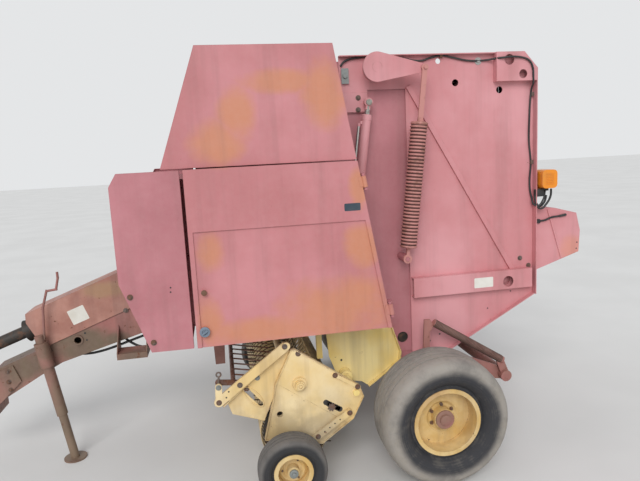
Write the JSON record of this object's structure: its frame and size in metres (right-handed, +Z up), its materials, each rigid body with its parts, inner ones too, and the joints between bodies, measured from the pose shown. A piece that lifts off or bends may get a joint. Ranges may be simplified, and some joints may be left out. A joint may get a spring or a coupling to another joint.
{
  "type": "round baler",
  "caption": "Towed round baler with a closed bale chamber, a lifting tailgate, tension springs, side doors and a tined pickup on gauge wheels.",
  "frame": {"origin": "on the ground under the middle of the machine's length and width", "axes": "+X to the rear, +Y to the machine's right, +Z up"},
  "size_m": [4.3409, 2.343, 2.602],
  "materials": {
    "panel_red": "faded red paint",
    "shield_orange": "faded orange-red paint",
    "cream": "faded yellow paint",
    "rust": "rust over old red paint",
    "tyre": "dusty tread rubber",
    "belt": "black baler belt",
    "steel": "worn steel",
    "amber": "amber lens",
    "dark_iron": "greasy cast iron"
  },
  "bodies": {
    "frame": {"side_sheet_left": "panel_red", "side_sheet_right": "panel_red", "frame_members": "panel_red", "axle_beam": "panel_red", "drawbar": "panel_red", "hitch_clevis": "panel_red", "driveline_cover": "rust", "gearbox": "dark_iron", "front_hood": "shield_orange", "front_shield_left": "panel_red", "front_shield_right": "panel_red", "upper_shield_left": "shield_orange", "upper_shield_right": "shield_orange", "feeder_panels": "cream", "front_rolls": "dark_iron", "front_belts": "belt", "jack_sleeve": "panel_red", "bale_ramp": "panel_red"},
    "driveline": {"driveline": "dark_iron"},
    "jack": {"jack_leg": "panel_red"},
    "tailgate": {"tailgate_sheet_left": "panel_red", "tailgate_sheet_right": "panel_red", "tailgate_members": "panel_red", "tailgate_belts": "belt", "tail_shield": "panel_red", "tail_lamps": "amber"},
    "pickup": {"pickup_frame": "cream", "pickup_bands": "cream"},
    "reel": {"pickup_reel": "dark_iron"},
    "guard": {"wind_guard": "rust"},
    "wheel_left": {"tyre_left": "tyre", "rim_left": "cream"},
    "gauge_left": {"gauge_tyre_left": "tyre", "gauge_rim_left": "cream"},
    "arm_left": {"tension_arm_left": "panel_red"},
    "spring_left": {"tension_spring_left": "panel_red"},
    "barrel_left": {"lift_barrel_left": "panel_red"},
    "rod_left": {"lift_rod_left": "steel"},
    "door_left": {"door_left": "shield_orange"},
    "wheel_right": {"tyre_right": "tyre", "rim_right": "cream"},
    "gauge_right": {"gauge_tyre_right": "tyre", "gauge_rim_right": "cream"},
    "arm_right": {"tension_arm_right": "panel_red"},
    "spring_right": {"tension_spring_right": "panel_red"},
    "barrel_right": {"lift_barrel_right": "panel_red"},
    "rod_right": {"lift_rod_right": "steel"},
    "door_right": {"door_right": "shield_orange"}
  },
  "joints": [
    {"name": "tailgate_lift", "type": "hinge", "parent": "frame", "child": "tailgate", "pos_m": [0.5445, 0, 2.47], "axis": [0, -1, 0], "range_deg": [0, 60]},
    {"name": "pickup_lift", "type": "hinge", "parent": "frame", "child": "pickup", "pos_m": [0.4595, 0, 0.56], "axis": [0, 1, 0], "range_deg": [0, 12]},
    {"name": "reel_spin", "type": "hinge", "parent": "pickup", "child": "reel", "pos_m": [0.0795, 0, 0.345], "axis": [0, 1, 0], "continuous": true},
    {"name": "guard_lift", "type": "hinge", "parent": "pickup", "child": "guard", "pos_m": [-0.3585, 0, 0.7], "axis": [0, -1, 0], "range_deg": [0, 20]},
    {"name": "driveline_spin", "type": "hinge", "parent": "frame", "child": "driveline", "pos_m": [-1.57341, 0, 0.92466], "axis": [-0.9409, 0, -0.3387], "continuous": true},
    {"name": "jack_slide", "type": "slide", "parent": "frame", "child": "jack", "axis": [-0.1513, 0, 0.9885], "range_m": [0, 0.3]},
    {"name": "wheel_left_spin", "type": "hinge", "parent": "frame", "child": "wheel_left", "pos_m": [0.9595, -1, 0.3935], "axis": [0, 1, 0], "continuous": true},
    {"name": "gauge_left_spin", "type": "hinge", "parent": "pickup", "child": "gauge_left", "pos_m": [0.0295, -1.045, 0.203], "axis": [0, 1, 0], "continuous": true},
    {"name": "door_left_swing", "type": "hinge", "parent": "frame", "child": "door_left", "pos_m": [0.6965, -0.986, 0.968], "axis": [-0.171, 0, 0.9853], "range_deg": [0, 100]},
    {"name": "arm_left_turn", "type": "hinge", "parent": "tailgate", "child": "arm_left", "pos_m": [0.7195, -0.722, 2.505], "axis": [0, -1, 0], "range_deg": [-87, 0]},
    {"name": "spring_left_lean", "type": "hinge", "parent": "frame", "child": "spring_left", "pos_m": [0.8755, -0.725, 1.32], "axis": [0, -1, 0], "range_deg": [0, 6.8]},
    {"name": "barrel_left_lean", "type": "hinge", "parent": "frame", "child": "barrel_left", "pos_m": [0.5195, -0.66, 1.25], "axis": [0, -1, 0], "range_deg": [-2.4, 0]},
    {"name": "rod_left_slide", "type": "slide", "parent": "barrel_left", "child": "rod_left", "axis": [0.1454, 0, 0.9894], "range_m": [0, 0.206]},
    {"name": "wheel_right_spin", "type": "hinge", "parent": "frame", "child": "wheel_right", "pos_m": [0.9595, 1, 0.3935], "axis": [0, 1, 0], "continuous": true},
    {"name": "gauge_right_spin", "type": "hinge", "parent": "pickup", "child": "gauge_right", "pos_m": [0.0295, 1.045, 0.203], "axis": [0, 1, 0], "continuous": true},
    {"name": "door_right_swing", "type": "hinge", "parent": "frame", "child": "door_right", "pos_m": [0.6965, 0.986, 0.968], "axis": [0.171, 0, -0.9853], "range_deg": [0, 100]},
    {"name": "arm_right_turn", "type": "hinge", "parent": "tailgate", "child": "arm_right", "pos_m": [0.7195, 0.722, 2.505], "axis": [0, -1, 0], "range_deg": [-87, 0]},
    {"name": "spring_right_lean", "type": "hinge", "parent": "frame", "child": "spring_right", "pos_m": [0.8755, 0.725, 1.32], "axis": [0, -1, 0], "range_deg": [0, 6.8]},
    {"name": "barrel_right_lean", "type": "hinge", "parent": "frame", "child": "barrel_right", "pos_m": [0.5195, 0.66, 1.25], "axis": [0, -1, 0], "range_deg": [-2.4, 0]},
    {"name": "rod_right_slide", "type": "slide", "parent": "barrel_right", "child": "rod_right", "axis": [0.1454, 0, 0.9894], "range_m": [0, 0.206]}
  ],
  "couplings": [
    {"joint": "arm_left_turn", "follows": "tailgate_lift", "ratio": -1.45},
    {"joint": "spring_left_lean", "follows": "tailgate_lift", "ratio": 0.112},
    {"joint": "barrel_left_lean", "follows": "tailgate_lift", "ratio": -0.04},
    {"joint": "rod_left_slide", "follows": "tailgate_lift", "m_per_rad": 0.196},
    {"joint": "arm_right_turn", "follows": "tailgate_lift", "ratio": -1.45},
    {"joint": "spring_right_lean", "follows": "tailgate_lift", "ratio": 0.112},
    {"joint": "barrel_right_lean", "follows": "tailgate_lift", "ratio": -0.04},
    {"joint": "rod_right_slide", "follows": "tailgate_lift", "m_per_rad": 0.196}
  ]
}
